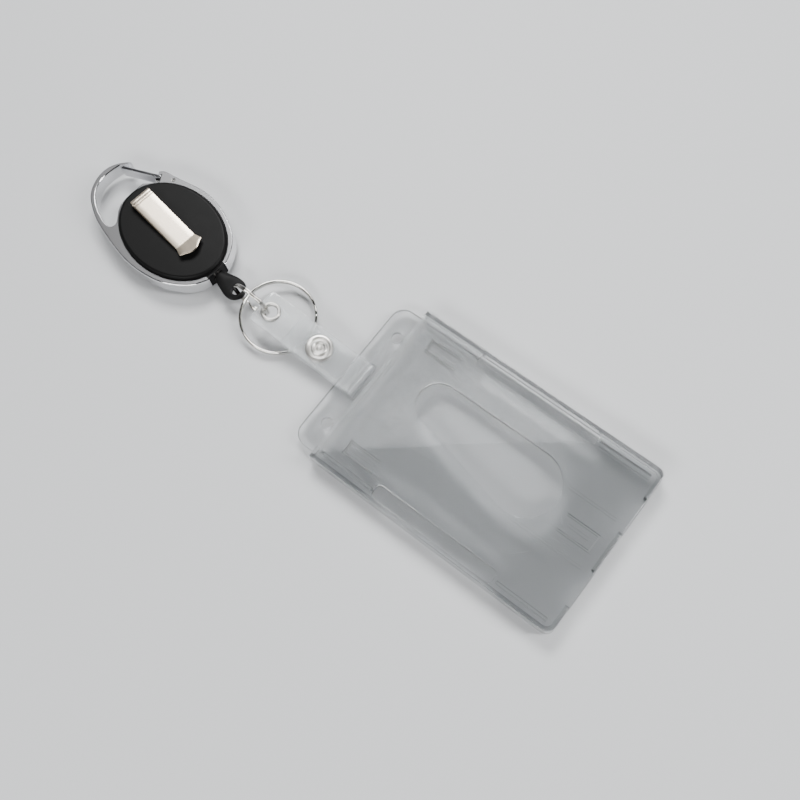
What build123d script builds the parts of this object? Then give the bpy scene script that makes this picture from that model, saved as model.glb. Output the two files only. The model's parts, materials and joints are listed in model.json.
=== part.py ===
from build123d import *
import math
import os

# Retractable badge reel with a carabiner frame, and a rigid card holder on a snap strap.
# Millimetres, +Z up. The object lies on the plane Z = 0 with its long direction along X:
# the reel at -X, the card holder at +X. The origin is under the middle of its outer box.

# ---------------------------------------------------------------- driving sizes
HOLDER_LENGTH = 104.4          # card holder with its tab, along X
HOLDER_WIDTH = 63.0
HOLDER_HEIGHT = 7.0
HOLDER_NEAR_X = 7.34           # tab edge of the holder, on the reel's side
PANEL = 1.4                    # thickness of the moulded walls
TAB_LENGTH = 10.0
TAB_HALF_WIDTH = 29.2
TAB_BOTTOM = 1.6
TAB_RIM = 0.5                  # raised border of the tab
CHAIN_HOLE_R = 2.0
CHAIN_HOLE_X = HOLDER_NEAR_X + 6.4
CHAIN_HOLE_Y = 18.8

REEL_X = HOLDER_NEAR_X - 81.2  # middle of the reel case
REEL_Y = 3.0
REEL_YAW = -5.2                # degrees: the reel lies slightly askew to the holder
CASE_A = 22.4                  # semi-axes of the oval reel case
CASE_B = 16.4
CASE_WALL = 1.2
FLANGE = (22.9, 17.2)          # semi-axes of the front cover's flange under the frame
COVER_LIP = (22.7, 16.7)       # semi-axes of the back cover's lip over the frame
FRAME_Z0 = 2.0
FRAME_Z1 = 8.0
CASE_SPLIT_Z = 5.0
CASE_TOP_Z = 9.5
FIT = 0.1                      # gap between moulded pieces that sit in each other

CORD_Z = 5.0
CORD_Y = -0.6                  # the cord leaves the case along this line
CORD_D = 0.8
SPOOL_X = -4.0
SPOOL_R = 14.4
WINDING_R = 14.0
WINDING_IN = 11.4
ARBOR_R = 1.7

STRAP_WIDTH = 12.7
STRAP_T = 0.7
STRAP_Y = -0.5
STRAP_TILT = 6.5               # degrees: the strap rises towards the ring
BEND_X = HOLDER_NEAR_X + 5.2   # middle of the strap's fold in the tab slot
BEND_Z = 2.3
BEND_IN = 1.45
SNAP_S = 16.8                  # distance of the snap from the fold
FLAP_S = 29.4                  # free end of the short flap
GROMMET_S = 37.9
STRAP_S = 42.4

RING_Y = -0.9
RING_X = HOLDER_NEAR_X - 40.95
RING_R = 7.35                  # centre line of the small split ring
RING_WIRE = 0.4                # radius of its wire, wound twice side by side
KEY_X = HOLDER_NEAR_X - 31.6
KEY_Y = 0.9
KEY_Z = 2.65
KEY_R = 13.1
KEY_TILT = 6.5
KEY_WIRE = 0.5
TIP_HOLE_X = 32.8              # in the reel's own frame
TIP_START_X = 23.85
TIP_END_X = 35.5


def in_reel(shape):
    """From the reel's own frame, +X towards the cord's exit, to the shared frame."""
    return Pos(REEL_X, REEL_Y, 0) * Rot(0, 0, REEL_YAW) * shape


def in_strap(shape):
    """From the flat strap's frame, origin at its fold, to the shared frame."""
    return Pos(BEND_X, STRAP_Y, BEND_Z) * Rot(0, STRAP_TILT, 0) * shape


def box(x0, x1, y0, y1, z0, z1):
    return Pos((x0 + x1) / 2, (y0 + y1) / 2, (z0 + z1) / 2) * Box(x1 - x0, y1 - y0, z1 - z0)


def disc(x, y, z0, z1, r):
    return Pos(x, y, (z0 + z1) / 2) * Cylinder(r, z1 - z0)


def tube(x, y, z0, z1, r_out, r_in):
    return disc(x, y, z0, z1, r_out) - disc(x, y, z0 - 1, z1 + 1, r_in)


def oval(a, b, z0, z1):
    return Pos(0, 0, z0) * extrude(Ellipse(a, b), z1 - z0)


def top_edges(shape, z):
    return [e for e in shape.edges() if abs(e.center().Z - z) < 0.01 and e.bounding_box().size.Z < 0.01]


def flat_edges(shape):
    return [e for e in shape.edges() if e.bounding_box().size.Z < 0.001]


def save(name, shape):
    shape.label = name
    export_step(shape, "parts/" + name + ".step")


# ---------------------------------------------------------------- carabiner frame and gate
PIN = (-15.1, 14.2)            # gate hinge, in the reel's own frame
GATE_ANGLE = 180 + 25.5
GATE_LENGTH = 20.7
GATE_OUT = 0.82                # the gate's outer face, from the pin's axis
GATE_T = 1.1
GATE_SWING = 20
GATE_Z0 = 2.6
GATE_Z1 = 7.8
KNUCKLE_R = 1.5
KNUCKLE_Z0 = 3.7
KNUCKLE_Z1 = 6.3
EAR_LENGTH = 5.0
FRAME_EDGE = 0.45              # rounding of the frame's outer and inner rims

OUTER = [
    (-32.7, 9.1), (-36.1, 5.6), (-37.9, 0.8), (-37.2, -4.6), (-34.0, -9.9), (-30.0, -12.7),
    (-25.5, -14.8), (-20.0, -16.4), (-13.1, -17.8), (-4.5, -18.9), (5.2, -18.2), (11.3, -16.5),
    (16.2, -13.8), (20.3, -10.4), (22.6, -7.0), (24.0, -3.6), (24.2, 0.0), (23.6, 3.6),
    (22.0, 7.3), (19.2, 11.3), (15.0, 14.4), (10.2, 16.5), (5.0, 18.0), (-0.4, 18.6),
    (-5.3, 18.2), (-11.6, 16.7), (-16.8, 15.5), (-20.2, 14.7), (-21.8, 13.4),
]
OPENING = [
    (-34.9, 5.6), (-35.7, 1.3), (-35.5, -3.4), (-33.8, -7.1), (-31.4, -9.5), (-28.3, -11.5),
    (-24.4, -13.0), (-20.8, -13.8), (-18.6, -13.4), (-18.1, -11.8), (-19.2, -9.9), (-21.1, -7.7),
    (-22.6, -4.9), (-23.1, -1.4), (-23.0, 3.2), (-22.7, 7.2), (-21.5, 11.2),
]


def gate_strip(angle, gap, s0, s1):
    """Outline of the gate's flat strip from s0 to s1 along it, opened by an angle."""
    strip = Pos((s0 + s1) / 2, -GATE_OUT + GATE_T / 2) * Rectangle(s1 - s0 + 2 * gap, GATE_T + 2 * gap)
    return Pos(*PIN) * Rot(0, 0, GATE_ANGLE + angle) * strip


def carabiner_frame():
    outline = make_face(Spline(OUTER) + Line(OUTER[-1], OUTER[0]))
    hole = make_face(Spline(OPENING) + Line(OPENING[-1], OPENING[0]))
    body = Pos(0, 0, FRAME_Z0) * extrude(outline, FRAME_Z1 - FRAME_Z0)
    body = fillet(flat_edges(body), FRAME_EDGE)
    rim = flat_edges(body)
    body -= Pos(0, 0, FRAME_Z0 - 1) * extrude(hole, FRAME_Z1 - FRAME_Z0 + 2)
    body = fillet([e for e in flat_edges(body) if e not in rim and e.length > 20], FRAME_EDGE)
    # everything between the hinge and the hook, which thins to a tip over the gate's nose, is open
    mouth = make_face(Polyline((6.4, 0.8), (6.4, -5.0), (18.0, -5.0), (18.05, -2.75), (20.9, -0.95),
                               (20.9, 0.8), close=True))
    mouth = Pos(*PIN) * Rot(0, 0, GATE_ANGLE) * mouth
    body -= Pos(0, 0, FRAME_Z0 - 1) * extrude(mouth, FRAME_Z1 - FRAME_Z0 + 2)
    body -= oval(CASE_A + FIT, CASE_B + FIT, FRAME_Z0 - 1, FRAME_Z1 + 1)
    body -= box(18, 30, CORD_Y - 3.9, CORD_Y + 3.9, FRAME_Z0 - 1, FRAME_Z1 + 1)
    # pocket swept by the gate; the ears above and below the knuckle stay
    for step in range(6):
        angle = GATE_SWING * step / 5
        strip = gate_strip(angle, 0.2, EAR_LENGTH, GATE_LENGTH)
        body -= Pos(0, 0, FRAME_Z0 - 1) * extrude(strip, FRAME_Z1 - FRAME_Z0 + 2)
        tongue = gate_strip(angle, 0.2, 0, EAR_LENGTH + 1)
        body -= Pos(0, 0, KNUCKLE_Z0 - 0.2) * extrude(tongue, KNUCKLE_Z1 - KNUCKLE_Z0 + 0.4)
    body -= disc(*PIN, KNUCKLE_Z0 - 0.2, KNUCKLE_Z1 + 0.2, KNUCKLE_R + 0.25)
    body -= disc(*PIN, FRAME_Z0 - 1, FRAME_Z1 + 1, 0.75)
    body = max(body.solids(), key=lambda solid: solid.volume)
    return body


def gate():
    """Sprung gate strip with a knuckle round the pin."""
    strip = gate_strip(0, 0, EAR_LENGTH + 0.4, GATE_LENGTH)
    body = Pos(0, 0, GATE_Z0) * extrude(strip, GATE_Z1 - GATE_Z0)
    neck = gate_strip(0, 0, 0, EAR_LENGTH + 0.6)
    body += Pos(0, 0, KNUCKLE_Z0) * extrude(neck, KNUCKLE_Z1 - KNUCKLE_Z0)
    body += disc(*PIN, KNUCKLE_Z0, KNUCKLE_Z1, KNUCKLE_R)
    body -= disc(*PIN, 0, 10, 0.8)
    return body.solids()[0]


def gate_spring():
    """Thin leaf from the pocket's wall to the inner face of the closed gate."""
    wall, tip = (4.5, 1.95), (7.8, 0.45)
    leaf = make_face(offset(Line(wall, tip), 0.1, side=Side.BOTH))
    leaf = Pos(*PIN) * Rot(0, 0, GATE_ANGLE) * leaf
    return (Pos(0, 0, KNUCKLE_Z0 + 0.3) * extrude(leaf, 2.0)).solids()[0]


def gate_pin():
    return disc(*PIN, FRAME_Z0 + 0.1, FRAME_Z1 - 0.1, 0.74)


# ---------------------------------------------------------------- reel case
NOSE_HALF = 3.7                # the case's nose that carries the cord guide
NOSE_X = 23.2


def case_hollow(z0, z1):
    return oval(CASE_A - CASE_WALL, CASE_B - CASE_WALL, z0, z1)


def nose(z0, z1):
    return box(17.0, NOSE_X, CORD_Y - NOSE_HALF, CORD_Y + NOSE_HALF, z0, z1)


def guide_bore():
    seat = Pos(21.5, CORD_Y, CORD_Z) * Rot(0, 90, 0) * Cylinder(1.35, 4.0)
    throat = Pos(18.0, CORD_Y, CORD_Z) * Rot(0, 90, 0) * Cone(1.1, 2.2, 5.0, rotation=(0, 180, 0))
    return seat + throat


def front_cover():
    """Lower shell: face plate, flange under the frame, wall and the spring's arbor."""
    face = oval(*FLANGE, 0, CASE_WALL)
    face = fillet(top_edges(face, 0), 0.9)
    body = face + oval(*FLANGE, CASE_WALL, FRAME_Z0) + oval(CASE_A, CASE_B, FRAME_Z0, CASE_SPLIT_Z)
    body -= case_hollow(CASE_WALL, CASE_SPLIT_Z + 1)
    wall = nose(FRAME_Z0, CASE_SPLIT_Z) & box(17, 30, -20, 20, 0, 20)
    body += wall - oval(17.6, 17.6, 0, 20)
    body -= guide_bore()
    arbor = disc(SPOOL_X, 0, CASE_WALL - 0.2, 7.9, ARBOR_R)
    arbor += disc(SPOOL_X, 0, CASE_WALL - 0.2, 2.5, 3.0)
    arbor -= box(SPOOL_X - 0.25, SPOOL_X + 0.25, -2, 2, 3.0, 9)
    return (body + arbor).solids()[0]


def back_cover():
    """Upper shell with a rounded edge, seat for the clip's rivet and a lip over the frame."""
    dome = fillet(top_edges(oval(CASE_A, CASE_B, FRAME_Z1, CASE_TOP_Z), CASE_TOP_Z), 1.1)
    body = dome + oval(CASE_A, CASE_B, CASE_SPLIT_Z, FRAME_Z1) + oval(*COVER_LIP, FRAME_Z1, FRAME_Z1 + 0.3)
    body += nose(CASE_SPLIT_Z, FRAME_Z1)
    body -= case_hollow(CASE_SPLIT_Z - 1, CASE_TOP_Z - CASE_WALL) - nose(0, 20)
    body -= oval(17.6, 15.2, CASE_SPLIT_Z - 1, CASE_TOP_Z - CASE_WALL)
    body -= guide_bore()
    body -= in_clip(disc(RIVET_X, 0, 7, 11, 1.25))
    return body.solids()[0]


def cord_guide():
    """Polished eyelet that the cord runs through, flush in the case's nose."""
    sleeve = Pos(21.45, CORD_Y, CORD_Z) * Rot(0, 90, 0) * Cylinder(1.3, 3.7)
    flange = Pos(23.45, CORD_Y, CORD_Z) * Rot(0, 90, 0) * Cylinder(2.0, 0.4)
    body = sleeve + flange
    body -= Pos(21.5, CORD_Y, CORD_Z) * Rot(0, 90, 0) * Cylinder(0.65, 6)
    return body.solids()[0]


# ---------------------------------------------------------------- belt clip
CLIP_YAW = -3.3                # the clip is riveted on slightly askew
CLIP_HALF = 4.1
CLIP_T = 0.5
CLIP_Z = CASE_TOP_Z
BEND_CLIP_X = -16.4
BEND_CLIP_R = 1.2              # middle of the strip round the bend
RIVET_X = -5.0


def in_clip(shape):
    return Rot(0, 0, CLIP_YAW) * shape


def belt_clip_base():
    """Lower leg of the spring clip, with the bend that the upper leg springs from."""
    z_mid = CLIP_Z + CLIP_T / 2
    leg = box(BEND_CLIP_X, 7.0, -CLIP_HALF, CLIP_HALF, CLIP_Z, CLIP_Z + CLIP_T)
    ring = Pos(BEND_CLIP_X, 0, z_mid + BEND_CLIP_R) * Rot(90, 0, 0) * (
        Cylinder(BEND_CLIP_R + CLIP_T / 2, 2 * CLIP_HALF) - Cylinder(BEND_CLIP_R - CLIP_T / 2, 9))
    half = ring & box(BEND_CLIP_X - 5, BEND_CLIP_X, -9, 9, 0, 20)
    body = leg + half
    body -= disc(RIVET_X, 0, 0, 20, 1.25)
    return body.solids()[0]


ARM_Z = CLIP_Z + CLIP_T / 2 + 2 * BEND_CLIP_R   # middle of the upper leg at the bend
FOLD_X = 8.2
FOLD_Z = ARM_Z - 1.5
LIP_X = 12.8
LIP_Z = FOLD_Z + 0.9


def belt_clip_arm():
    """Upper leg: slopes down to the fold, then its flared lip turns up."""
    t = CLIP_T / 2
    profile = Polyline((BEND_CLIP_X + 0.05, ARM_Z - t), (FOLD_X, FOLD_Z - t), (LIP_X, LIP_Z - t),
                       (LIP_X, LIP_Z + t), (FOLD_X, FOLD_Z + t), (BEND_CLIP_X + 0.05, ARM_Z + t), close=True)
    body = extrude(Plane.XZ * make_face(profile), CLIP_HALF + 0.8, both=True)
    plan = make_face(Polyline((BEND_CLIP_X - 1, -CLIP_HALF), (FOLD_X, -CLIP_HALF), (LIP_X - 1.6, -CLIP_HALF - 0.7),
                              (LIP_X + 0.1, -1.6), (LIP_X + 0.1, 1.6), (LIP_X - 1.6, CLIP_HALF + 0.7),
                              (FOLD_X, CLIP_HALF), (BEND_CLIP_X - 1, CLIP_HALF), close=True))
    body = body & extrude(plan, 20)
    return body.solids()[0]


def clip_rivet():
    """Hollow rivet through the clip's lower leg and the back cover."""
    body = disc(RIVET_X, 0, 7.9, CLIP_Z + CLIP_T + 0.3, 1.2)
    body += disc(RIVET_X, 0, CLIP_Z + CLIP_T, CLIP_Z + CLIP_T + 0.4, 2.1)
    body += disc(RIVET_X, 0, 7.9, CASE_TOP_Z - CASE_WALL, 2.0)
    body -= disc(RIVET_X, 0, 7, 12, 0.7)
    return body.solids()[0]


# ---------------------------------------------------------------- spool, spring and cord
SPOOL_Z0 = 2.6
SPOOL_Z1 = 7.4
FLANGE_T = 0.8
SPRING_T = 0.25
SPRING_TURNS = 6


def spool():
    """Flanged drum: the cord winds outside it, the spring lies in its open cavity."""
    drum = tube(SPOOL_X, 0, SPOOL_Z0, SPOOL_Z1, WINDING_IN - 0.05, 10.4)
    low = tube(SPOOL_X, 0, SPOOL_Z0, SPOOL_Z0 + FLANGE_T, SPOOL_R, 10.4)
    high = tube(SPOOL_X, 0, SPOOL_Z1 - FLANGE_T, SPOOL_Z1, SPOOL_R, ARBOR_R + 0.05)
    hub = tube(SPOOL_X, 0, SPOOL_Z1 - 2.0, SPOOL_Z1, 2.9, ARBOR_R + 0.05)
    return (drum + low + high + hub).solids()[0]


def mainspring():
    """Flat spiral spring, relaxed against the cavity's wall, its inner end near the arbor."""
    outside, inside = 10.3, 6.2
    count = SPRING_TURNS * 16

    def radius(i):
        return outside - (outside - inside) * i / count

    def at(i, r):
        angle = 2 * math.pi * i / 16
        return (SPOOL_X + r * math.cos(angle), r * math.sin(angle))
    outer = Spline([at(i, radius(i)) for i in range(count + 1)])
    inner = Spline([at(i, radius(i) - SPRING_T) for i in range(count + 1)])
    ends = Line(outer @ 0, inner @ 0) + Line(outer @ 1, inner @ 1)
    coil = extrude(make_face(outer + inner + ends), 2.4)
    tail = box(SPOOL_X + 2.3, SPOOL_X + inside, -SPRING_T, 0.0, 0, 2.4)
    return (Pos(0, 0, SPOOL_Z0 + 0.2) * (coil + tail)).solids()[0]


def cord_winding():
    """Outer shape of the wound cord, packed between the spool's flanges."""
    z0 = SPOOL_Z0 + FLANGE_T + 0.05
    z1 = SPOOL_Z1 - FLANGE_T - 0.05
    return tube(SPOOL_X, 0, z0, z1, WINDING_R, WINDING_IN)


def cord_lead():
    """Cord from the winding's tangent through the guide: two straight runs and one arc."""
    reach = WINDING_R + CORD_D / 2 + 0.05
    corner = (19.0, CORD_Y)
    dx = corner[0] - SPOOL_X
    far = math.hypot(dx, CORD_Y)
    angle = math.atan2(CORD_Y, dx) + math.acos(reach / far)
    start = (SPOOL_X + reach * math.cos(angle), reach * math.sin(angle))
    end = (23.6, CORD_Y)
    run = end[0] - corner[0]
    turn = math.atan2(start[1] - CORD_Y, corner[0] - start[0])
    radius = 0.45 * run / math.tan(turn / 2)
    points = [(x, y, CORD_Z) for x, y in (start, corner, end)]
    path = FilletPolyline(*points, radius=radius)
    print("cord lead bend radius", round(radius, 2))
    section = Plane(origin=path @ 0, z_dir=path % 0) * Circle(CORD_D / 2)
    return sweep(section, path=path)


# ---------------------------------------------------------------- cord tip
TIP_OUTLINE = [(TIP_START_X, 2.3), (26.5, 3.0), (29.5, 3.9), (32.2, 4.0), (34.6, 2.5), (TIP_END_X, 0.0)]


def cord_tip():
    """Soft drop-shaped end piece: a sleeve that thins to a flat eye for the small ring."""
    upper = Spline(TIP_OUTLINE, tangents=[(1, 0.15), (0, -1)])
    lower = Spline([(x, -y) for x, y in reversed(TIP_OUTLINE)], tangents=[(0, -1), (-1, 0.15)])
    face = make_face(upper + lower + Line((TIP_START_X, -2.3), (TIP_START_X, 2.3)))
    plan = Pos(0, CORD_Y, 0) * extrude(face, 10)
    side = Polyline((TIP_START_X, CORD_Z - 2.3), (28.0, CORD_Z - 2.3), (30.6, CORD_Z - 1.2), (36, CORD_Z - 1.2),
                    (36, CORD_Z + 1.2), (30.6, CORD_Z + 1.2), (28.0, CORD_Z + 2.3), (TIP_START_X, CORD_Z + 2.3),
                    close=True)
    body = plan & extrude(Plane.XZ * make_face(side), 10, both=True)
    body -= disc(TIP_HOLE_X, CORD_Y, 0, 10, 1.9)
    for sign in (1, -1):
        cone = Cone(1.9, 2.4, 0.5) if sign > 0 else Cone(2.4, 1.9, 0.5)
        body -= Pos(TIP_HOLE_X, CORD_Y, CORD_Z + sign * 0.96) * cone
    body -= Pos(25.0, CORD_Y, CORD_Z) * Rot(0, 90, 0) * Cylinder(0.5, 4)
    body -= disc(27.3, CORD_Y, 0, CORD_Z + 1.2, 1.3)
    return body.solids()[0]


def cord_knot():
    """End of the cord inside the tip, with its stopper knot."""
    cord = Pos((TIP_START_X + 27.3) / 2, CORD_Y, CORD_Z) * Rot(0, 90, 0) * Cylinder(0.4, 27.3 - TIP_START_X)
    return (cord + Pos(27.3, CORD_Y, CORD_Z) * Sphere(1.1)).solids()[0]


# ---------------------------------------------------------------- rings
def split_ring(r, wire):
    """Two turns of round wire side by side, as one closed ring about Z."""
    section = Plane.XZ * (Pos(r, wire) * Circle(wire) + Pos(r, -wire) * Circle(wire)
                          + Pos(r, 0) * Rectangle(wire * 1.5, wire * 2))
    return revolve(section, Axis.Z).solids()[0]


def small_ring():
    z = RING_R + RING_WIRE + 0.05
    return Pos(RING_X, RING_Y, z) * Rot(90, 0, 0) * split_ring(RING_R, RING_WIRE)


def key_ring():
    return Pos(KEY_X, KEY_Y, KEY_Z) * Rot(0, KEY_TILT, 0) * split_ring(KEY_R, KEY_WIRE)


# ---------------------------------------------------------------- strap and its metal parts
STRAP_TOP = BEND_IN + STRAP_T  # outer face of either layer, from the strap's middle plane
GROMMET_HOLE_R = 2.8
SNAP_HOLE_R = 1.3


def strap():
    """One vinyl strip: the upper layer, its fold through the slot and the short flap below."""
    half = STRAP_WIDTH / 2
    layer = box(-STRAP_S, 0, -half, half, BEND_IN, STRAP_TOP)
    corners = [e for e in layer.edges().filter_by(Axis.Z) if e.center().X < -STRAP_S + 1]
    layer = chamfer(corners, 1.0)
    flap = box(-FLAP_S, 0, -half, half, -STRAP_TOP, -BEND_IN)
    fold = Rot(90, 0, 0) * (Cylinder(STRAP_TOP, STRAP_WIDTH) - Cylinder(BEND_IN, STRAP_WIDTH + 2))
    body = layer + flap + (fold & box(0, 9, -9, 9, -9, 9))
    body -= disc(-GROMMET_S, 0, 0, 9, GROMMET_HOLE_R)
    body -= disc(-SNAP_S, 0, -9, 9, SNAP_HOLE_R)
    return body.solids()[0]


def grommet():
    """Eyelet barrel with its rolled upper flange."""
    top = STRAP_TOP
    barrel = tube(-GROMMET_S, 0, BEND_IN - 0.5, top + 0.3, 2.75, 2.3)
    flange = tube(-GROMMET_S, 0, top, top + 0.7, 3.5, 2.3)
    flange = fillet([e for e in flange.edges() if e.center().Z > top + 0.6], 0.3)
    return (barrel + flange).solids()[0]


def grommet_washer():
    return tube(-GROMMET_S, 0, BEND_IN - 0.5, BEND_IN, 3.5, 2.78)


def snap_cap():
    """Upper half of the snap: ring cap with a raised inner ring and the eyelet's head."""
    top = STRAP_TOP
    body = tube(-SNAP_S, 0, top, top + 0.8, 4.8, 3.3) + disc(-SNAP_S, 0, top, top + 0.3, 4.0)
    body += tube(-SNAP_S, 0, top, top + 1.0, 2.7, 1.7)
    body += disc(-SNAP_S, 0, top, top + 0.9, 0.9)
    body += disc(-SNAP_S, 0, BEND_IN - 0.1, top + 0.2, 1.25)
    return body.solids()[0]


def snap_socket():
    """Female half under the upper layer."""
    return tube(-SNAP_S, 0, BEND_IN - 1.3, BEND_IN - 0.1, 4.3, 2.1) + disc(
        -SNAP_S, 0, BEND_IN - 0.3, BEND_IN - 0.1, 3.0)


def snap_stud():
    """Male half on top of the flap; its head sits in the socket with a small gap."""
    low = -BEND_IN
    body = disc(-SNAP_S, 0, low + 0.1, low + 0.8, 4.2) + disc(-SNAP_S, 0, low + 0.1, BEND_IN - 0.6, 1.9)
    return body.solids()[0]


def snap_post():
    """Post flange under the flap, its shank through the vinyl."""
    low = -STRAP_TOP
    body = disc(-SNAP_S, 0, low - 0.5, low, 4.0) + disc(-SNAP_S, 0, low - 0.2, -BEND_IN + 0.1, 1.25)
    return body.solids()[0]


# ---------------------------------------------------------------- card holder
END_X = HOLDER_NEAR_X + HOLDER_LENGTH
BODY_X = HOLDER_NEAR_X + TAB_LENGTH
SEAM_Z = HOLDER_HEIGHT / 2
HALF = HOLDER_WIDTH / 2
THUMB = [(33.2, 7.1, 7.5), (70.9, 2.9, 11.7)]   # thumb opening: two circles and their common tangents
RIBS = [(14.6, 44.0, -9.4), (72.2, 100.4, -9.4), (15.7, 23.3, 9.4), (83.2, 100.4, 9.4)]
RIB_HALF = 0.45
MOULD_EDGE = 0.3               # rounding of the holder's outer edges and openings
RIB_HEIGHT = 0.4
WINDOW_X = (34.0, 81.0)
WINDOW_Y = (25.3, 30.1)
TONGUE_X = (18.0, 30.0)                         # spring tongues beside the tab: free end, root
TONGUE_Y = (19.2, 24.3)
END_TONGUE_X = (99.5, 87.5)
END_TONGUE_Y = (-4.0, 2.6)
RAILS_X = [(12.5, 33.0), (82.0, 101.0)]
GAPS_Y = [(-21.0, -7.3), (7.3, 21.0)]        # openings in the far end wall


def rounded(x0, x1, half, r, z0, z1, which):
    """Plate with its vertical corners rounded where which(x) holds."""
    plate = box(x0, x1, -half, half, z0, z1)
    return fillet([e for e in plate.edges().filter_by(Axis.Z) if which(e.center().X)], r)


def side_walls(z0, z1):
    """Outer walls of the pocket: two sides, closed posts at the far end."""
    ring = rounded(BODY_X, END_X, HALF, 3.0, z0, z1, lambda x: x > END_X - 1)
    ring -= rounded(BODY_X - 5, END_X - PANEL, HALF - PANEL, 2.0, z0 - 1, z1 + 1, lambda x: x > END_X - 3)
    for low, high in GAPS_Y:
        ring -= box(END_X - 5, END_X + 1, low, high, z0 - 1, z1 + 1)
    return ring


def tongue(x_free, x_root, y0, y1):
    """Slit round three sides of a spring tongue, its free end at x_free."""
    slit = 0.7
    side = 1 if x_root > x_free else -1
    cut = box(min(x_free, x_root), max(x_free, x_root), y0, y1, 0, 20)
    keep = box(min(x_free + side * slit, x_root + side), max(x_free + side * slit, x_root + side),
               y0 + slit, y1 - slit, -1, 21)
    return cut - keep


def thumb_opening():
    a, b = THUMB
    one = Pos(HOLDER_NEAR_X + a[0], a[1]) * Circle(a[2])
    two = Pos(HOLDER_NEAR_X + b[0], b[1]) * Circle(b[2])
    return extrude(make_hull((one + two).edges()), 20)


def holder_front_panel():
    """Upper moulding: panel with the thumb opening, windows, tongues and ribs."""
    x = HOLDER_NEAR_X
    top = HOLDER_HEIGHT
    body = rounded(BODY_X, END_X, HALF, 3.0, top - PANEL, top, lambda v: v > END_X - 1)
    body -= thumb_opening()
    for sign in (1, -1):
        low, high = sorted((sign * WINDOW_Y[0], sign * WINDOW_Y[1]))
        body -= rounded_window(x + WINDOW_X[0], x + WINDOW_X[1], low, high)
    body = fillet(top_edges(body, top), MOULD_EDGE)
    body += side_walls(SEAM_Z, top - PANEL)
    for sign in (1, -1):
        low, high = sorted((sign * TONGUE_Y[0], sign * TONGUE_Y[1]))
        body -= tongue(x + TONGUE_X[0], x + TONGUE_X[1], low, high)
        mid = (low + high) / 2
        body += box(x + 20.6, x + 29.4, mid - 0.5, mid + 0.5, top - 0.2, top + RIB_HEIGHT)
    body -= tongue(x + END_TONGUE_X[0], x + END_TONGUE_X[1], *END_TONGUE_Y)
    body += box(x + 89.7, x + 97.0, -1.2, -0.2, top - 0.2, top + RIB_HEIGHT)
    for x0, x1, y in RIBS:
        body += box(x + x0, x + x1, y - RIB_HALF, y + RIB_HALF, top - 0.2, top + RIB_HEIGHT)
    return body.solids()[0]


def rounded_window(x0, x1, y0, y1):
    cut = box(x0, x1, y0, y1, SEAM_Z + 0.5, 20)
    return fillet(cut.edges().filter_by(Axis.Z), 1.6)


def holder_back_panel():
    """Lower moulding: back panel, lower half of the walls, card rails and the slotted tab."""
    x = HOLDER_NEAR_X
    body = rounded(BODY_X, END_X, HALF, 3.0, 0, PANEL, lambda v: v > END_X - 1)
    body = fillet(top_edges(body, 0), MOULD_EDGE)
    body += side_walls(PANEL, SEAM_Z)
    tab_top = TAB_BOTTOM + PANEL
    tab = rounded(x, BODY_X + PANEL, TAB_HALF_WIDTH, 5.0, TAB_BOTTOM, tab_top + TAB_RIM, lambda v: v < x + 1)
    tab = fillet(top_edges(tab, TAB_BOTTOM), MOULD_EDGE)
    tab -= rounded(x + 1.7, BODY_X + 5, TAB_HALF_WIDTH - 1.7, 3.5, tab_top, 20, lambda v: v < x + 3)
    body += tab
    body += box(BODY_X, BODY_X + PANEL, -HALF + PANEL, HALF - PANEL, 0.5, tab_top)
    for x0, x1 in RAILS_X:
        for sign in (1, -1):
            low, high = sorted((sign * 27.4, sign * 28.3))
            body += box(x + x0, x + x1, low, high, PANEL - 0.2, HOLDER_HEIGHT - PANEL - 0.05)
    slot = box(x + 4.5, x + 8.9, STRAP_Y - 7.1, STRAP_Y + 7.1, 0, 20)
    slot = fillet(slot.edges().filter_by(Axis.Z), 1.6)
    body -= slot
    for sign in (1, -1):
        body -= disc(CHAIN_HOLE_X, sign * CHAIN_HOLE_Y, 0, 20, CHAIN_HOLE_R)
    return body.solids()[0]


# ---------------------------------------------------------------- nodes
NODES = {
    "carabiner_frame": in_reel(carabiner_frame()),
    "gate": in_reel(gate()),
    "gate_pin": in_reel(gate_pin()),
    "gate_spring": in_reel(gate_spring()),
    "front_cover": in_reel(front_cover()),
    "back_cover": in_reel(back_cover()),
    "cord_guide": in_reel(cord_guide()),
    "belt_clip_base": in_reel(in_clip(belt_clip_base())),
    "belt_clip_arm": in_reel(in_clip(belt_clip_arm())),
    "clip_rivet": in_reel(in_clip(clip_rivet())),
    "spool": in_reel(spool()),
    "mainspring": in_reel(mainspring()),
    "cord_winding": in_reel(cord_winding()),
    "cord_lead": in_reel(cord_lead()),
    "cord_tip": in_reel(cord_tip()),
    "cord_knot": in_reel(cord_knot()),
    "small_split_ring": small_ring(),
    "key_ring": key_ring(),
    "strap": in_strap(strap()),
    "grommet": in_strap(grommet()),
    "grommet_washer": in_strap(grommet_washer()),
    "snap_cap": in_strap(snap_cap()),
    "snap_socket": in_strap(snap_socket()),
    "snap_stud": in_strap(snap_stud()),
    "snap_post": in_strap(snap_post()),
    "holder_front_panel": holder_front_panel(),
    "holder_back_panel": holder_back_panel(),
}

os.makedirs("parts", exist_ok=True)
for node, solid in NODES.items():
    save(node, solid)
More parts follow.
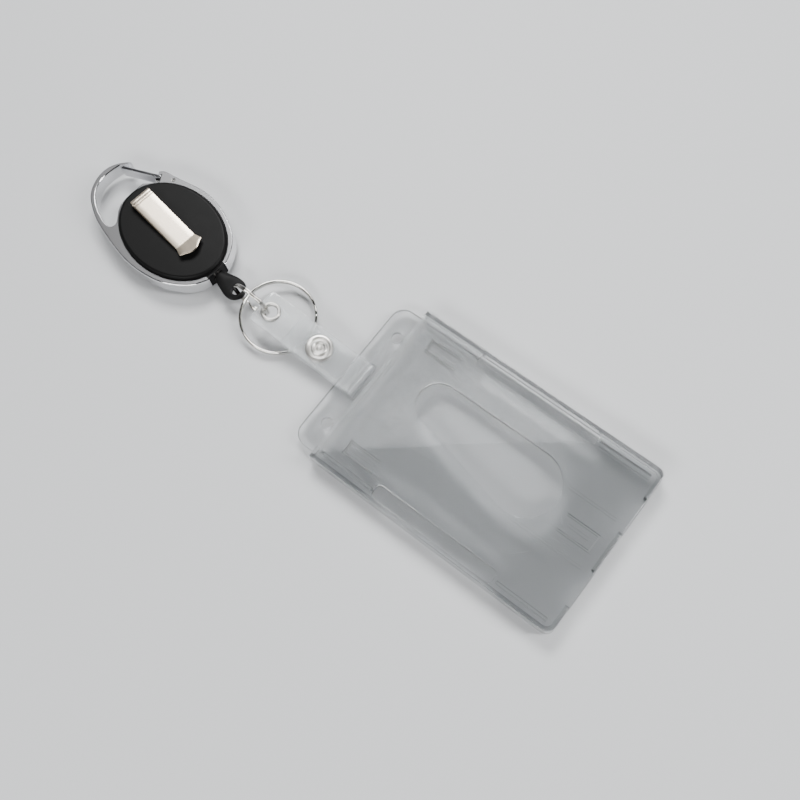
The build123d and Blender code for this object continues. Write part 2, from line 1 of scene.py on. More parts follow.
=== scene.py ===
import json
import math
import bmesh
import bpy
from mathutils import Matrix, Vector
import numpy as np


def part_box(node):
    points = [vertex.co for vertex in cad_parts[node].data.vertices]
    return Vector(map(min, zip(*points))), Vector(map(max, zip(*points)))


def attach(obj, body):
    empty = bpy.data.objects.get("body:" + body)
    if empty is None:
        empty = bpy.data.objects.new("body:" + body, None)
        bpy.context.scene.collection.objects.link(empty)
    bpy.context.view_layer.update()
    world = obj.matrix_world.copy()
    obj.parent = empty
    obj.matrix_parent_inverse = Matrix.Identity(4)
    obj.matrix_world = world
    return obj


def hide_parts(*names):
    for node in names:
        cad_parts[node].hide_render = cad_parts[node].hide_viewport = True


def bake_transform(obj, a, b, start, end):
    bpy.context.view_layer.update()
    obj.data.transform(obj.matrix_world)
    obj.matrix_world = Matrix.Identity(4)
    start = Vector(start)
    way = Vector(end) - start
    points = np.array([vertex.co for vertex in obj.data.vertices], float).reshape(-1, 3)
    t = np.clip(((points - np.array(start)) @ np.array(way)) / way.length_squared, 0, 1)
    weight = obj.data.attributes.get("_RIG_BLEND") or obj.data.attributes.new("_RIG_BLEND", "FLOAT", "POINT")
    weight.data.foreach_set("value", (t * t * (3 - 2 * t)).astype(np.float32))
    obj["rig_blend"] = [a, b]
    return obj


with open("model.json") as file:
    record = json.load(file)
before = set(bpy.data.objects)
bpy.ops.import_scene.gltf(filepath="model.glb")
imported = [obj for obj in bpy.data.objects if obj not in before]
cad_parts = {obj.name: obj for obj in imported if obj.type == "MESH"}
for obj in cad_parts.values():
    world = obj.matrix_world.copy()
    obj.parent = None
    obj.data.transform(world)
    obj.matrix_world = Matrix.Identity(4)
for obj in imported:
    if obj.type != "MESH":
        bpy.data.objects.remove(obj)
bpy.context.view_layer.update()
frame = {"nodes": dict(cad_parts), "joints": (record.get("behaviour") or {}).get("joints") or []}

# Looks of the badge reel. Lengths are in millimetres and become metres through MM.
MM = 0.001

# ---------------------------------------------------------------- places, from the frame
joints = {joint["name"]: joint for joint in frame["joints"]}
SPOOL_OFFSET = 4.0             # the spool's axis lies behind the case's middle
CLIP_YAW = -3.3                # degrees, of the belt clip on the case
STRAP_TILT = 6.5               # degrees
BEND_S = 8.4                   # the strap's bending line, from its fold

cord_axis = Vector(joints["cord_pull"]["axis"])
spool_place = Vector(joints["spool_spin"]["pos_m"])
reel_middle = spool_place + cord_axis * SPOOL_OFFSET * MM
REEL = Matrix.Translation((reel_middle.x, reel_middle.y, 0)) @ Matrix.Rotation(
    math.atan2(cord_axis.y, cord_axis.x), 4, "Z")
CLIP = REEL @ Matrix.Rotation(math.radians(CLIP_YAW), 4, "Z")
STRAP = (Matrix.Translation(joints["strap_bend"]["pos_m"])
         @ Matrix.Rotation(math.radians(STRAP_TILT), 4, "Y")
         @ Matrix.Translation((BEND_S * MM, 0, 0)))


def middle(node):
    low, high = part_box(node)
    return (low + high) / 2


# ---------------------------------------------------------------- materials
def shader(name, colour=(1, 1, 1), metallic=0.0, roughness=0.3):
    """A new material and its Principled shader."""
    made = bpy.data.materials.new(name)
    made.use_nodes = True
    bsdf = made.node_tree.nodes["Principled BSDF"]
    bsdf.inputs["Base Color"].default_value = (*colour, 1.0)
    bsdf.inputs["Metallic"].default_value = metallic
    bsdf.inputs["Roughness"].default_value = roughness
    return made, bsdf


def noise(made, scale, detail=3.0, stretch=(1, 1, 1), turn=0.0):
    """Noise in the piece's own coordinates, stretched along one direction for brushing."""
    nodes, links = made.node_tree.nodes, made.node_tree.links
    place = nodes.new("ShaderNodeTexCoord")
    mapping = nodes.new("ShaderNodeMapping")
    mapping.inputs["Scale"].default_value = stretch
    mapping.inputs["Rotation"].default_value = (0, 0, turn)
    texture = nodes.new("ShaderNodeTexNoise")
    texture.inputs["Scale"].default_value = scale
    texture.inputs["Detail"].default_value = detail
    links.new(place.outputs["Object"], mapping.inputs["Vector"])
    links.new(mapping.outputs["Vector"], texture.inputs["Vector"])
    return texture.outputs["Fac"]


def spread(made, source, low, high):
    """Maps a 0 to 1 value to the range low to high."""
    node = made.node_tree.nodes.new("ShaderNodeMapRange")
    node.inputs["To Min"].default_value = low
    node.inputs["To Max"].default_value = high
    made.node_tree.links.new(source, node.inputs["Value"])
    return node.outputs["Result"]


def bump(made, bsdf, source, strength, distance):
    node = made.node_tree.nodes.new("ShaderNodeBump")
    node.inputs["Strength"].default_value = strength
    node.inputs["Distance"].default_value = distance * MM
    made.node_tree.links.new(source, node.inputs["Height"])
    made.node_tree.links.new(node.outputs["Normal"], bsdf.inputs["Normal"])


def metal(name, colour, rough_low, rough_high, scale=900, stretch=(1, 1, 1), depth=0.004, turn=0.0):
    """Plated metal whose polish varies a little, with fine marks."""
    made, bsdf = shader(name, colour, metallic=1.0)
    source = noise(made, scale, 4.0, stretch, turn)
    made.node_tree.links.new(spread(made, source, rough_low, rough_high), bsdf.inputs["Roughness"])
    bump(made, bsdf, source, 0.35, depth)
    return made


def frame_painted_rim_light(name):
    """Satin on the flat faces and bright polish on the rims; the base colour is painted by facing: a darker
    painted shade on the flat faces, a bright painted highlight on the rims.
    """
    made, bsdf = shader(name, metallic=1.0)
    nodes, links = made.node_tree.nodes, made.node_tree.links
    geometry = nodes.new("ShaderNodeNewGeometry")
    split = nodes.new("ShaderNodeSeparateXYZ")
    links.new(geometry.outputs["Normal"], split.inputs["Vector"])
    flat = nodes.new("ShaderNodeMath")
    flat.operation = "ABSOLUTE"
    links.new(split.outputs["Z"], flat.inputs[0])
    polish = nodes.new("ShaderNodeMapRange")
    polish.inputs["From Min"].default_value = 0.90
    polish.inputs["From Max"].default_value = 0.99
    polish.inputs["To Min"].default_value = 0.07
    polish.inputs["To Max"].default_value = 0.36
    links.new(flat.outputs[0], polish.inputs["Value"])
    links.new(polish.outputs["Result"], bsdf.inputs["Roughness"])
    # painted light: the base colour runs from a bright painted highlight on the rims to a dark painted shade
    # on the flat faces, by which way each face points
    painted_rim_light_ramp = nodes.new("ShaderNodeValToRGB")
    painted_rim_light_ramp.color_ramp.elements[0].color = (0.80, 0.80, 0.81, 1)
    painted_rim_light_ramp.color_ramp.elements[0].position = 0.90
    painted_rim_light_ramp.color_ramp.elements[1].color = (0.15, 0.15, 0.153, 1)
    painted_rim_light_ramp.color_ramp.elements[1].position = 0.985
    links.new(flat.outputs[0], painted_rim_light_ramp.inputs["Fac"])
    links.new(painted_rim_light_ramp.outputs["Color"], bsdf.inputs["Base Color"])
    bump(made, bsdf, noise(made, 1600, 4.0), 0.25, 0.006)
    return made


def moulded(name, colour, rough_low, rough_high, grain, depth, gloss=0.5):
    """Opaque moulded plastic with a fine spark-eroded grain."""
    made, bsdf = shader(name, colour)
    bsdf.inputs["Specular IOR Level"].default_value = gloss
    made.node_tree.links.new(spread(made, noise(made, 260), rough_low, rough_high), bsdf.inputs["Roughness"])
    bump(made, bsdf, noise(made, grain, 2.0), 0.5, depth)
    return made


def clear(name, colour, ior, rough_low, rough_high, wave, depth, clarity, alpha):
    """Clear plastic with slight flow marks: thin walls seen flat on show alpha of it, edges all of it."""
    made, bsdf = shader(name, colour)
    slant = made.node_tree.nodes.new("ShaderNodeLayerWeight")
    slant.inputs["Blend"].default_value = 0.42
    made.node_tree.links.new(spread(made, slant.outputs["Facing"], alpha, 1.0), bsdf.inputs["Alpha"])
    bsdf.inputs["Transmission Weight"].default_value = clarity
    bsdf.inputs["IOR"].default_value = ior
    source = noise(made, wave, 2.0)
    made.node_tree.links.new(spread(made, source, rough_low, rough_high), bsdf.inputs["Roughness"])
    bump(made, bsdf, source, 0.4, depth)
    return made


def braid(name):
    """Braided cord: two crossing sets of strands."""
    made, bsdf = shader(name, (0.014, 0.014, 0.015), roughness=0.7)
    nodes, links = made.node_tree.nodes, made.node_tree.links
    place = nodes.new("ShaderNodeTexCoord")
    heights = []
    for direction in ("X", "DIAGONAL"):
        wave = nodes.new("ShaderNodeTexWave")
        wave.bands_direction = direction
        wave.inputs["Scale"].default_value = 900
        wave.inputs["Distortion"].default_value = 0.6
        links.new(place.outputs["Object"], wave.inputs["Vector"])
        heights.append(wave.outputs["Fac"])
    both = nodes.new("ShaderNodeMath")
    both.operation = "MAXIMUM"
    links.new(heights[0], both.inputs[0])
    links.new(heights[1], both.inputs[1])
    bump(made, bsdf, both.outputs[0], 0.8, 0.08)
    return made


BRUSH_TURN = -math.atan2(cord_axis.y, cord_axis.x) - math.radians(CLIP_YAW)
# frame metal: satin faces and polished rims, with painted shade on the flat faces and a painted highlight on
# the rims
FRAME_PAINTED_RIM_LIGHT = frame_painted_rim_light("frame_painted_rim_light")
GATE_CHROME = metal("gate_chrome", (0.80, 0.80, 0.82), 0.05, 0.14)
BLACK = moulded("black_plastic", (0.004, 0.004, 0.004), 0.40, 0.50, 5200, 0.008, 0.11)
RUBBER = moulded("black_rubber", (0.005, 0.005, 0.005), 0.48, 0.62, 3600, 0.012, 0.14)
CLIP_NICKEL = metal("clip_nickel", (0.78, 0.68, 0.55), 0.24, 0.38, 500, (1, 14, 1), 0.006, BRUSH_TURN)
NICKEL = metal("nickel", (0.66, 0.65, 0.62), 0.07, 0.14, depth=0.0012)
SNAP_NICKEL = metal("snap_nickel", (0.66, 0.65, 0.62), 0.30, 0.38, depth=0.001)
SPOOL_WHITE = moulded("spool_plastic", (0.55, 0.55, 0.52), 0.35, 0.5, 3000, 0.008)
SPRING = metal("spring_steel", (0.42, 0.43, 0.48), 0.2, 0.35, 700, (1, 1, 8))
CORD = braid("cord_nylon")
VINYL = clear("clear_vinyl", (0.93, 0.95, 0.96), 1.52, 0.05, 0.14, 190, 0.08, 0.80, 0.75)
STYRENE = clear("clear_styrene", (0.97, 0.98, 0.985), 1.57, 0.01, 0.03, 60, 0.02, 1.0, 0.80)


# ---------------------------------------------------------------- mesh tools
def new_piece(name, bm, matrix, smooth=40):
    """An object from a bmesh in millimetres, placed by matrix, in the row frame."""
    bmesh.ops.recalc_face_normals(bm, faces=bm.faces)
    mesh = bpy.data.meshes.new(name)
    bm.to_mesh(mesh)
    bm.free()
    mesh.transform(matrix @ Matrix.Scale(MM, 4))
    mesh.shade_smooth()
    mesh.set_sharp_from_angle(angle=math.radians(smooth))
    piece = bpy.data.objects.new(name, mesh)
    bpy.context.scene.collection.objects.link(piece)
    return piece


def settle(piece, smooth=35):
    """Applies a piece's modifiers to its mesh."""
    done = piece.evaluated_get(bpy.context.evaluated_depsgraph_get())
    mesh = bpy.data.meshes.new_from_object(done)
    piece.modifiers.clear()
    piece.data = mesh
    mesh.shade_smooth()
    mesh.set_sharp_from_angle(angle=math.radians(smooth))
    return piece


def finish_piece(piece, material, slot, body, *nodes):
    """Material, body and the CAD nodes that the piece stands for; slot is not used."""
    piece.data.materials.clear()
    piece.data.materials.append(material)
    if body:
        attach(piece, body)
    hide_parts(*nodes)
    return piece


def loft(bm, rings, closed_ends=True):
    """Faces between rings of points; each ring is closed and has the same number of points."""
    rows = [[bm.verts.new(point) for point in ring] for ring in rings]
    count = len(rows[0])
    for a, b in zip(rows, rows[1:]):
        for i in range(count):
            j = (i + 1) % count
            bm.faces.new((a[i], a[j], b[j], b[i]))
    if closed_ends:
        bm.faces.new(rows[0])
        bm.faces.new(rows[-1])


def rounded(points, radius, steps=4, closed=True):
    """An outline with its corners rounded by arcs."""
    made = []
    count = len(points)
    for i in range(count):
        here = Vector(points[i])
        if not closed and i in (0, count - 1):
            made.append(here)
            continue
        before = Vector(points[i - 1]) - here
        after = Vector(points[(i + 1) % count]) - here
        turn = math.pi - before.angle(after)
        if turn < math.radians(8):
            made.append(here)
            continue
        reach = min(radius * math.tan(turn / 2), before.length * 0.45, after.length * 0.45)
        start = here + before.normalized() * reach
        end = here + after.normalized() * reach
        for k in range(steps + 1):
            t = k / steps
            made.append(start * (1 - t) ** 2 + here * 2 * t * (1 - t) + end * t ** 2)
    return made


def lathe(name, outline, matrix, radius=0.12, turns=96):
    """A turned piece: outline holds (radius, height) pairs, closed unless its ends lie on the axis."""
    bm = bmesh.new()
    solid = outline[0][0] == 0
    profile = rounded(outline, radius, closed=not solid)
    rings = []
    for k in range(turns):
        angle = 2 * math.pi * k / turns
        rings.append([(p.x * math.cos(angle), p.x * math.sin(angle), p.y) for p in profile])
    rows = [[bm.verts.new(point) for point in ring] for ring in rings]
    for k in range(turns):
        a, b = rows[k], rows[(k + 1) % turns]
        for i in range(len(profile) - 1 if solid else len(profile)):
            j = (i + 1) % len(profile)
            bm.faces.new((a[i], a[j], b[j], b[i]))
    bmesh.ops.remove_doubles(bm, verts=bm.verts, dist=0.002)
    bmesh.ops.dissolve_degenerate(bm, edges=bm.edges, dist=0.001)
    return new_piece(name, bm, matrix)


def refine(node, name, edge, steps=3, angle=30, smooth=35):
    """A CAD node's own shape as a clean mesh with its edges rounded."""
    bm = bmesh.new()
    bm.from_mesh(frame["nodes"][node].data)
    bmesh.ops.remove_doubles(bm, verts=bm.verts, dist=2e-6)
    for vertex in bm.verts:
        vertex.co /= MM
    piece = new_piece(name, bm, Matrix.Identity(4), smooth)
    for layer in [a.name for a in piece.data.attributes if a.name == "custom_normal"]:
        piece.data.attributes.remove(piece.data.attributes[layer])
    bevel = piece.modifiers.new("edges", "BEVEL")
    bevel.width = edge * MM
    bevel.segments = steps
    bevel.limit_method = "ANGLE"
    bevel.angle_limit = math.radians(angle)
    bevel.use_clamp_overlap = False
    settle(piece, smooth)
    weighted = piece.modifiers.new("normals", "WEIGHTED_NORMAL")
    weighted.keep_sharp = True
    weighted.weight = 100
    return piece


def band_section(half_width, thickness, edge):
    """Cross-section of a strip: (across, through) pairs round a rounded rectangle."""
    t = thickness / 2
    corners = [(-half_width, -t), (half_width, -t), (half_width, t), (-half_width, t)]
    flat = []
    for k, corner in enumerate(corners):
        flat.append(corner)
        if k in (0, 2):
            across = (corners[k + 1][0] - corner[0]) if k == 0 else (corners[3][0] - corner[0])
            flat += [(corner[0] + across * f, corner[1]) for f in (0.25, 0.5, 0.75)]
    return [tuple(p) for p in rounded(flat, edge, 3)]


def band(name, path, widths, thickness, edge, matrix):
    """A strip along a path of (x, z) points, with a half width for each point."""
    bm = bmesh.new()
    rings = []
    last = len(path) - 1
    for i, (x, z) in enumerate(path):
        ahead = Vector(path[min(i + 1, last)]) - Vector(path[max(i - 1, 0)])
        normal = Vector((-ahead.y, ahead.x)).normalized()
        section = band_section(widths[i], thickness, edge)
        rings.append([(x + normal.x * h, across, z + normal.y * h) for across, h in section])
    loft(bm, rings)
    return new_piece(name, bm, matrix, 50)


def line(a, b, step):
    """Points from a to b without b, about step apart."""
    count = max(1, round((Vector(b) - Vector(a)).length / step))
    return [tuple(Vector(a).lerp(Vector(b), k / count)) for k in range(count)]


def arc(centre, radius, start, end, count):
    """Points on an arc in degrees, without its last point."""
    made = []
    for k in range(count):
        angle = math.radians(start + (end - start) * k / count)
        made.append((centre[0] + radius * math.cos(angle), centre[1] + radius * math.sin(angle)))
    return made


def wire(name, points, radius, matrix, sides=20):
    """A round wire along points, with rounded ends."""
    bm = bmesh.new()
    points = [Vector(p) for p in points]
    last = len(points) - 1
    rings = []
    side = None
    for i, p in enumerate(points):
        ahead = (points[min(i + 1, last)] - points[max(i - 1, 0)]).normalized()
        if side is None:
            side = ahead.orthogonal().normalized()
        side = (side - ahead * side.dot(ahead)).normalized()
        other = ahead.cross(side)
        shrink = 0.55 if i in (0, last) else 1.0
        ring = []
        for k in range(sides):
            angle = 2 * math.pi * k / sides
            ring.append(p + (side * math.cos(angle) + other * math.sin(angle)) * radius * shrink)
        rings.append(ring)
    loft(bm, rings)
    return new_piece(name, bm, matrix, 50)


def cut(piece, tools):
    """Takes the tools' shapes out of a piece and removes them."""
    for tool in tools:
        modifier = piece.modifiers.new("cut", "BOOLEAN")
        modifier.operation = "DIFFERENCE"
        modifier.object = tool
    settle(piece)
    for tool in tools:
        bpy.data.objects.remove(tool)
    return piece


def rod(radius, low, high, matrix):
    """A plain cylinder about Z, used as a cutter."""
    bm = bmesh.new()
    bmesh.ops.create_cone(bm, cap_ends=True, segments=64, radius1=radius, radius2=radius, depth=high - low,
                          matrix=Matrix.Translation((0, 0, (low + high) / 2)))
    return new_piece("cutter", bm, matrix)


# ---------------------------------------------------------------- reel
finish_piece(refine("gate", "carabiner_gate", 0.16), GATE_CHROME, "gate_chrome", "gate", "gate")
GATE_ANGLE = 205.5             # degrees in the reel's frame, from the hinge to the gate's nose
LEAF_WALL = (4.45, 2.05)       # the leaf's ends: along the gate from its hinge, and inwards
LEAF_TIP = (7.8, 0.42)
LEAF_HALF = 1.0
LEAF_T = 0.12


def gate_leaf():
    """Leaf spring from the frame's pocket to the gate's inner face; it flattens as the gate opens."""
    pin = joints["gate_hinge"]["pos_m"]
    turn = math.atan2(cord_axis.y, cord_axis.x) + math.radians(GATE_ANGLE)
    place = Matrix.Translation(pin) @ Matrix.Rotation(turn, 4, "Z")
    path = [(x, -y) for x, y in line(LEAF_WALL, LEAF_TIP, 0.12) + [LEAF_TIP]]
    piece = band("gate_leaf", path, [LEAF_HALF] * len(path), LEAF_T, 0.03,
                 place @ Matrix.Rotation(math.pi / 2, 4, "X"))
    start = place @ (Vector((*LEAF_WALL, 0)) * MM)
    end = place @ (Vector((*LEAF_WALL, 0)).lerp(Vector((*LEAF_TIP, 0)), 0.85) * MM)
    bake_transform(piece, "reel", "gate", start=start, end=end)
    return finish_piece(piece, NICKEL, "nickel", None, "gate_spring")


gate_leaf()

# ---------------------------------------------------------------- belt clip: one bent strip
CLIP_HALF = 4.1
CLIP_T = 0.5
LEG_Z = 9.75
LEG_END_X = 7.0                # free end of the lower leg
BEND_X = -16.4
BEND_R = 1.2
ARM_Z = LEG_Z + 2 * BEND_R
FOLD = (8.2, ARM_Z - 1.5)
LIP = (13.5, ARM_Z - 0.5)
SCORES = (-15.3, -14.7)        # creases pressed across the strip beside its bend
SCORE_DEPTH = 0.14


def belt_clip():
    path = line((LEG_END_X, LEG_Z), (BEND_X, LEG_Z), 0.8)
    path += arc((BEND_X, LEG_Z + BEND_R), BEND_R, 270, 90, 20)
    arm_start = len(path)
    fall = (FOLD[1] - ARM_Z) / (FOLD[0] - BEND_X)
    for score in SCORES:
        for step, depth in ((-0.14, 0), (0, SCORE_DEPTH), (0.14, 0)):
            x = score + step
            path.append((x, ARM_Z + fall * (x - BEND_X) - depth))
        corner = (score + 0.2, ARM_Z + fall * (score + 0.2 - BEND_X))
    path += line(corner, FOLD, 0.5)
    path += line(FOLD, LIP, 0.4) + [LIP]
    widths = []
    for i, (x, z) in enumerate(path):
        wide = 0.0
        if i > arm_start and x > FOLD[0]:
            along = (x - FOLD[0]) / (LIP[0] - FOLD[0])
            wide = 0.9 * min(1.0, along / 0.6)
            if along > 0.6:
                wide -= 3.6 * (along - 0.6) / 0.4
        widths.append(CLIP_HALF + wide)
    piece = band("belt_clip", path, widths, CLIP_T, 0.12, CLIP)
    slope = Vector((1.5 / (FOLD[0] - BEND_X), 0, 1)).normalized()
    start = CLIP @ (Vector((BEND_X, 0, ARM_Z - 0.7)) * MM)
    end = start + (CLIP.to_3x3() @ slope) * 0.45 * MM
    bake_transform(piece, "reel", "clip_arm", start=start, end=end)
    return finish_piece(piece, CLIP_NICKEL, "clip_nickel", None, "belt_clip_base", "belt_clip_arm")


belt_clip()

# ---------------------------------------------------------------- cord tip and the cord's free stretch
CORD_Y = -0.6
CORD_Z = 5.0
TIP_HOLE_X = 32.8
TIP_HOLE_R = 1.9
TIP_BORE_X = 25.0              # middle of the cord's bore in the tip
TIP_BORE_R = 0.5
CORD_START_X = 22.6            # the free stretch begins inside the guide and ends in the tip
CORD_STRETCH = 3.6
CORD_R = 0.38
# distance along the reel's X, half width and half height of the tip at that place
TIP_STATIONS = [
    (23.85, 1.9, 1.9), (23.95, 2.2, 2.15), (24.8, 2.5, 2.3), (26.2, 2.9, 2.3), (27.6, 3.35, 2.15),
    (29.0, 3.75, 1.75), (30.2, 4.0, 1.4), (31.6, 4.1, 1.22), (33.0, 3.95, 1.2), (34.1, 3.3, 1.2),
    (34.9, 2.3, 1.15), (35.35, 1.2, 0.95), (35.5, 0.4, 0.5),
]


def cord_tip():
    """Soft end piece: a round sleeve that flattens to an eye with a raised rim."""
    bm = bmesh.new()
    rings = []
    for x, half, height in TIP_STATIONS:
        flatness = 2.0 + 1.6 * min(1.0, max(0.0, (x - 27.0) / 4.0))
        ring = []
        for k in range(48):
            angle = 2 * math.pi * k / 48
            c, s = math.cos(angle), math.sin(angle)
            ring.append((x, CORD_Y + half * math.copysign(abs(c) ** (2 / flatness), c),
                         CORD_Z + height * math.copysign(abs(s) ** (2 / flatness), s)))
        rings.append(ring)
    loft(bm, rings)
    piece = new_piece("cord_end", bm, REEL, 60)
    smooth = piece.modifiers.new("smooth", "SUBSURF")
    smooth.levels = smooth.render_levels = 1
    settle(piece, 60)
    eye = REEL @ Matrix.Translation(Vector((TIP_HOLE_X, CORD_Y, 0)) * MM)
    bore = REEL @ Matrix.Translation(Vector((TIP_BORE_X, CORD_Y, CORD_Z)) * MM)
    bore = bore @ Matrix.Rotation(math.pi / 2, 4, "Y")
    cut(piece, [rod(TIP_HOLE_R, 0, 10, eye), rod(TIP_BORE_R, -2, 2, bore)])
    finish_piece(piece, RUBBER, "black_rubber", "tip", "cord_tip")
    rim = [(TIP_HOLE_R, 3.72), (2.5, 3.72), (2.75, 3.9), (2.75, 6.1), (2.5, 6.28), (TIP_HOLE_R, 6.28)]
    finish_piece(lathe("cord_end_eye", rim, eye, 0.15), RUBBER, "black_rubber", "tip")


def cord_run():
    """The cord between the guide and the tip; it stretches as the tip is pulled out."""
    points = [(CORD_START_X + CORD_STRETCH * k / 60, CORD_Y, CORD_Z) for k in range(61)]
    piece = wire("cord_run", points, CORD_R, REEL, 14)
    start = REEL @ (Vector((23.7, CORD_Y, CORD_Z)) * MM)
    end = REEL @ (Vector((23.9, CORD_Y, CORD_Z)) * MM)
    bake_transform(piece, "reel", "tip", start=start, end=end)
    return finish_piece(piece, CORD, "cord_nylon", None)


cord_tip()
cord_run()

# ---------------------------------------------------------------- split rings
CROSSING = 11.0                # degrees each side of the step, where one wire crosses over
SMALL_R = 7.35                 # centre line and wire radius of each ring, and where its step is
SMALL_WIRE = 0.4
SMALL_STEP = 250
KEY_R = 13.1
KEY_WIRE = 0.5
KEY_STEP = 53
KEY_TILT = 6.5


def split_ring(name, radius, wire_r, matrix, step_at):
    """Two turns of wire side by side, the crossing at step_at degrees."""
    points = []
    count = 360
    for k in range(count + 1):
        along = CROSSING + (720 - 2 * CROSSING) * k / count
        t = min(1.0, max(0.0, (along - 360 + CROSSING) / (2 * CROSSING)))
        offset = wire_r * (2 * t * t * (3 - 2 * t) - 1)
        angle = math.radians(step_at + along)
        points.append((radius * math.cos(angle), radius * math.sin(angle), offset))
    return wire(name, points, wire_r, matrix)


SMALL = Matrix.Translation(middle("small_split_ring")) @ Matrix.Rotation(math.pi / 2, 4, "X")
finish_piece(split_ring("link_ring", SMALL_R, SMALL_WIRE, SMALL, SMALL_STEP), NICKEL, "nickel",
             "small_ring", "small_split_ring")
KEY = Matrix.Translation(middle("key_ring")) @ Matrix.Rotation(math.radians(KEY_TILT), 4, "Y")
finish_piece(split_ring("large_key_ring", KEY_R, KEY_WIRE, KEY, KEY_STEP), NICKEL, "nickel",
             "key_ring", "key_ring")

# ---------------------------------------------------------------- strap
STRAP_HALF = 6.35
STRAP_T = 0.7
LAYER = 1.8                    # middle of each layer, from the strap's middle plane
TOP = LAYER + STRAP_T / 2
STRAP_S = 42.4
FLAP_S = 29.4
SNAP_S = 16.8
GROMMET_S = 37.9
CORNER_R = 1.2                 # rounding of the strap's ends
GROMMET_HOLE_R = 2.8
SNAP_HOLE_R = 1.3
BEND_FROM = -11.5              # the strap bends between these places
BEND_TO = -5.0


def strap():
    path = line((-STRAP_S, LAYER), (0, LAYER), 0.6)
    path += arc((0, 0), LAYER, 90, -90, 28)
    path += line((0, -LAYER), (-FLAP_S, -LAYER), 0.6) + [(-FLAP_S, -LAYER)]
    widths = []
    for i, (x, z) in enumerate(path):
        end = x + (STRAP_S if z > 0 else FLAP_S)
        inset = 0.0
        if end < CORNER_R:
            inset = CORNER_R - math.sqrt(max(0.0, CORNER_R ** 2 - (CORNER_R - end) ** 2))
        widths.append(STRAP_HALF - inset)
    piece = band("vinyl_strap", path, widths, STRAP_T, 0.14, STRAP)
    hole = STRAP @ Matrix.Translation((-GROMMET_S * MM, 0, 0))
    snap = STRAP @ Matrix.Translation((-SNAP_S * MM, 0, 0))
    cut(piece, [rod(GROMMET_HOLE_R, 0, 4, hole), rod(SNAP_HOLE_R, -4, 4, snap)])
    start = STRAP @ (Vector((BEND_FROM, 0, 0)) * MM)
    end = STRAP @ (Vector((BEND_TO, 0, 0)) * MM)
    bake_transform(piece, "strap", "holder", start=start, end=end)
    return finish_piece(piece, VINYL, "clear_vinyl", None, "strap")


strap()


def strap_metal():
    """Turned pieces: the eyelet with its washer, and the snap's four pieces."""
    at_grommet = STRAP @ Matrix.Translation((-GROMMET_S * MM, 0, 0))
    at_snap = STRAP @ Matrix.Translation((-SNAP_S * MM, 0, 0))
    low = -TOP
    inner = LAYER - STRAP_T / 2
    turned = [
        ("eyelet", "grommet", at_grommet, 0.3,
         [(2.3, inner - 0.5), (2.3, TOP + 0.45), (2.55, TOP + 0.7), (3.1, TOP + 0.7), (3.5, TOP + 0.35),
          (3.5, TOP), (2.75, TOP), (2.75, inner - 0.5)]),
        ("eyelet_washer", "grommet_washer", at_grommet, 0.1,
         [(2.78, inner - 0.5), (3.5, inner - 0.4), (3.5, inner), (2.78, inner)]),
        ("snap_head", "snap_cap", at_snap, 0.14,
         [(0, TOP + 0.92), (0.55, TOP + 0.86), (0.95, TOP + 0.5), (1.1, TOP + 0.3),
          (1.65, TOP + 0.3), (1.75, TOP + 0.85), (2.1, TOP + 1.0), (2.4, TOP + 1.0), (2.7, TOP + 0.8),
          (2.8, TOP + 0.3), (3.3, TOP + 0.3), (3.45, TOP + 0.62), (3.9, TOP + 0.8), (4.4, TOP + 0.7),
          (4.8, TOP + 0.3), (4.8, TOP), (1.25, TOP), (1.25, inner - 0.1), (0, inner - 0.1)]),
        ("snap_female", "snap_socket", at_snap, 0.15,
         [(2.1, inner - 1.3), (4.0, inner - 1.3), (4.3, inner - 0.9), (4.3, inner - 0.1),
          (2.1, inner - 0.1)]),
        ("snap_male", "snap_stud", at_snap, 0.15,
         [(0, -inner + 0.1), (4.2, -inner + 0.1), (4.2, -inner + 0.6), (3.9, -inner + 0.8),
          (1.9, -inner + 0.8), (1.9, inner - 0.8), (1.6, inner - 0.6), (0, inner - 0.6)]),
        ("snap_rivet", "snap_post", at_snap, 0.15,
         [(0, low - 0.5), (3.5, low - 0.5), (4.0, low - 0.15), (4.0, low), (1.25, low), (1.25, -inner + 0.1),
          (0, -inner + 0.1)]),
    ]
    for name, node, place, radius, outline in turned:
        finish_piece(lathe(name, outline, place, radius), SNAP_NICKEL, "nickel", "strap", node)


strap_metal()

# ---------------------------------------------------------------- CAD nodes that stay as they are
KEPT = {
    "carabiner_frame": FRAME_PAINTED_RIM_LIGHT, "back_cover": BLACK, "front_cover": BLACK,
    "gate_pin": NICKEL, "cord_guide": NICKEL, "clip_rivet": NICKEL,
    "holder_front_panel": STYRENE, "holder_back_panel": STYRENE,
    "spool": SPOOL_WHITE, "mainspring": SPRING, "cord_winding": CORD, "cord_lead": CORD, "cord_knot": CORD,
}
for node, material in KEPT.items():
    kept = frame["nodes"][node]
    kept.data.materials.clear()
    kept.data.materials.append(material)

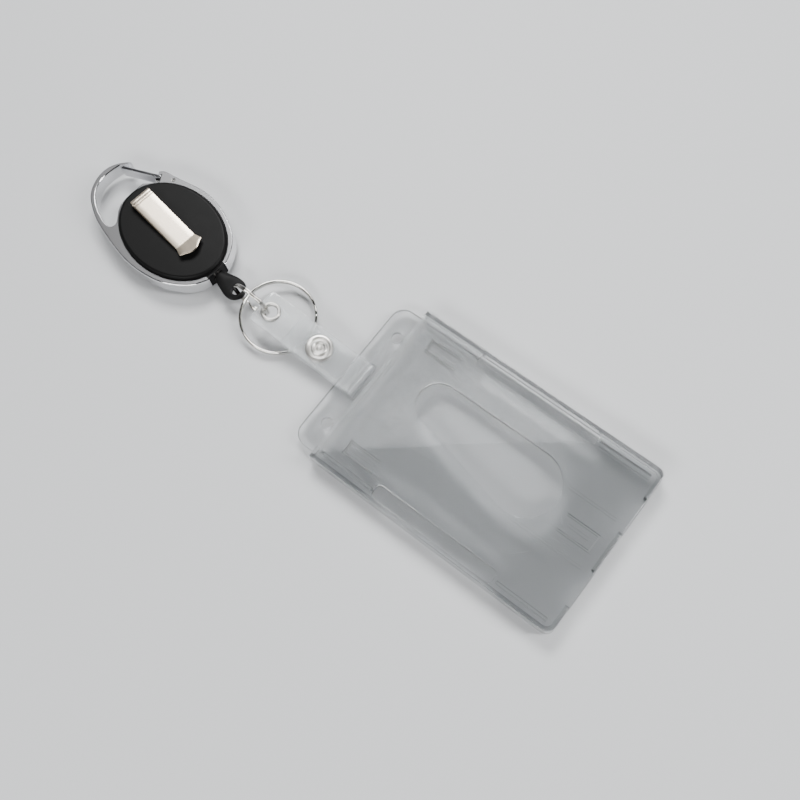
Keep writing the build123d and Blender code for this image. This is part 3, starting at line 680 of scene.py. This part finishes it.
# ---------------------------------------------------------------- studio
def studio():
    bm = bmesh.new()
    bmesh.ops.create_grid(bm, x_segments=2, y_segments=2, size=2500)
    floor = new_piece("floor", bm, Matrix.Translation((0, 0, -0.0002)))
    pale, bsdf = shader("pale_floor", (0.60, 0.61, 0.62), roughness=0.6)
    bump(pale, bsdf, noise(pale, 300), 0.05, 0.05)
    floor.data.materials.append(pale)
    world = bpy.data.worlds.new("studio")
    world.use_nodes = True
    nodes, links = world.node_tree.nodes, world.node_tree.links
    place = nodes.new("ShaderNodeTexCoord")
    split = nodes.new("ShaderNodeSeparateXYZ")
    ramp = nodes.new("ShaderNodeValToRGB")
    ramp.color_ramp.elements[0].color = (0.50, 0.505, 0.52, 1)
    ramp.color_ramp.elements[1].color = (0.04, 0.041, 0.045, 1)
    ramp.color_ramp.elements[1].position = 0.75
    links.new(place.outputs["Generated"], split.inputs["Vector"])
    links.new(split.outputs["Z"], ramp.inputs["Fac"])
    links.new(ramp.outputs["Color"], nodes["Background"].inputs["Color"])
    nodes["Background"].inputs["Strength"].default_value = 0.6
    bpy.context.scene.world = world
    lamps = [
        ("key", (-0.35, 0.45, 0.75), (0.50, 0.35), 11.0),
        ("side", (0.55, 0.30, 0.55), (0.15, 0.60), 6.0),
        ("low", (0.10, -0.60, 0.50), (0.60, 0.20), 5.0),
    ]
    for name, place, size, power in lamps:
        light = bpy.data.lights.new(name, "AREA")
        light.shape = "RECTANGLE"
        light.size, light.size_y = size
        light.energy = power
        lamp = bpy.data.objects.new(name, light)
        lamp.location = place
        lamp.rotation_euler = (-Vector(place)).to_track_quat("-Z", "Y").to_euler()
        bpy.context.scene.collection.objects.link(lamp)


HOLDER_EDGE_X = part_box("holder_back_panel")[0].x / MM
CAMERA_PLACE = Vector((HOLDER_EDGE_X + 118.4, -76.7, 337.0))
CAMERA_TARGET = Vector((HOLDER_EDGE_X + 20.14, 2.52, 0.0))
CAMERA_ROLL = -13.94           # degrees
CAMERA_LENS = 48.62


def camera():
    data = bpy.data.cameras.new("camera")
    data.lens = CAMERA_LENS
    data.sensor_width = 36.0
    data.clip_start = 0.01
    made = bpy.data.objects.new("camera", data)
    look = (CAMERA_TARGET - CAMERA_PLACE).to_track_quat("-Z", "Y").to_matrix().to_4x4()
    roll = Matrix.Rotation(math.radians(CAMERA_ROLL), 4, "Z")
    made.matrix_world = Matrix.Translation(CAMERA_PLACE * MM) @ look @ roll
    bpy.context.scene.collection.objects.link(made)
    bpy.context.scene.camera = made


studio()
camera()
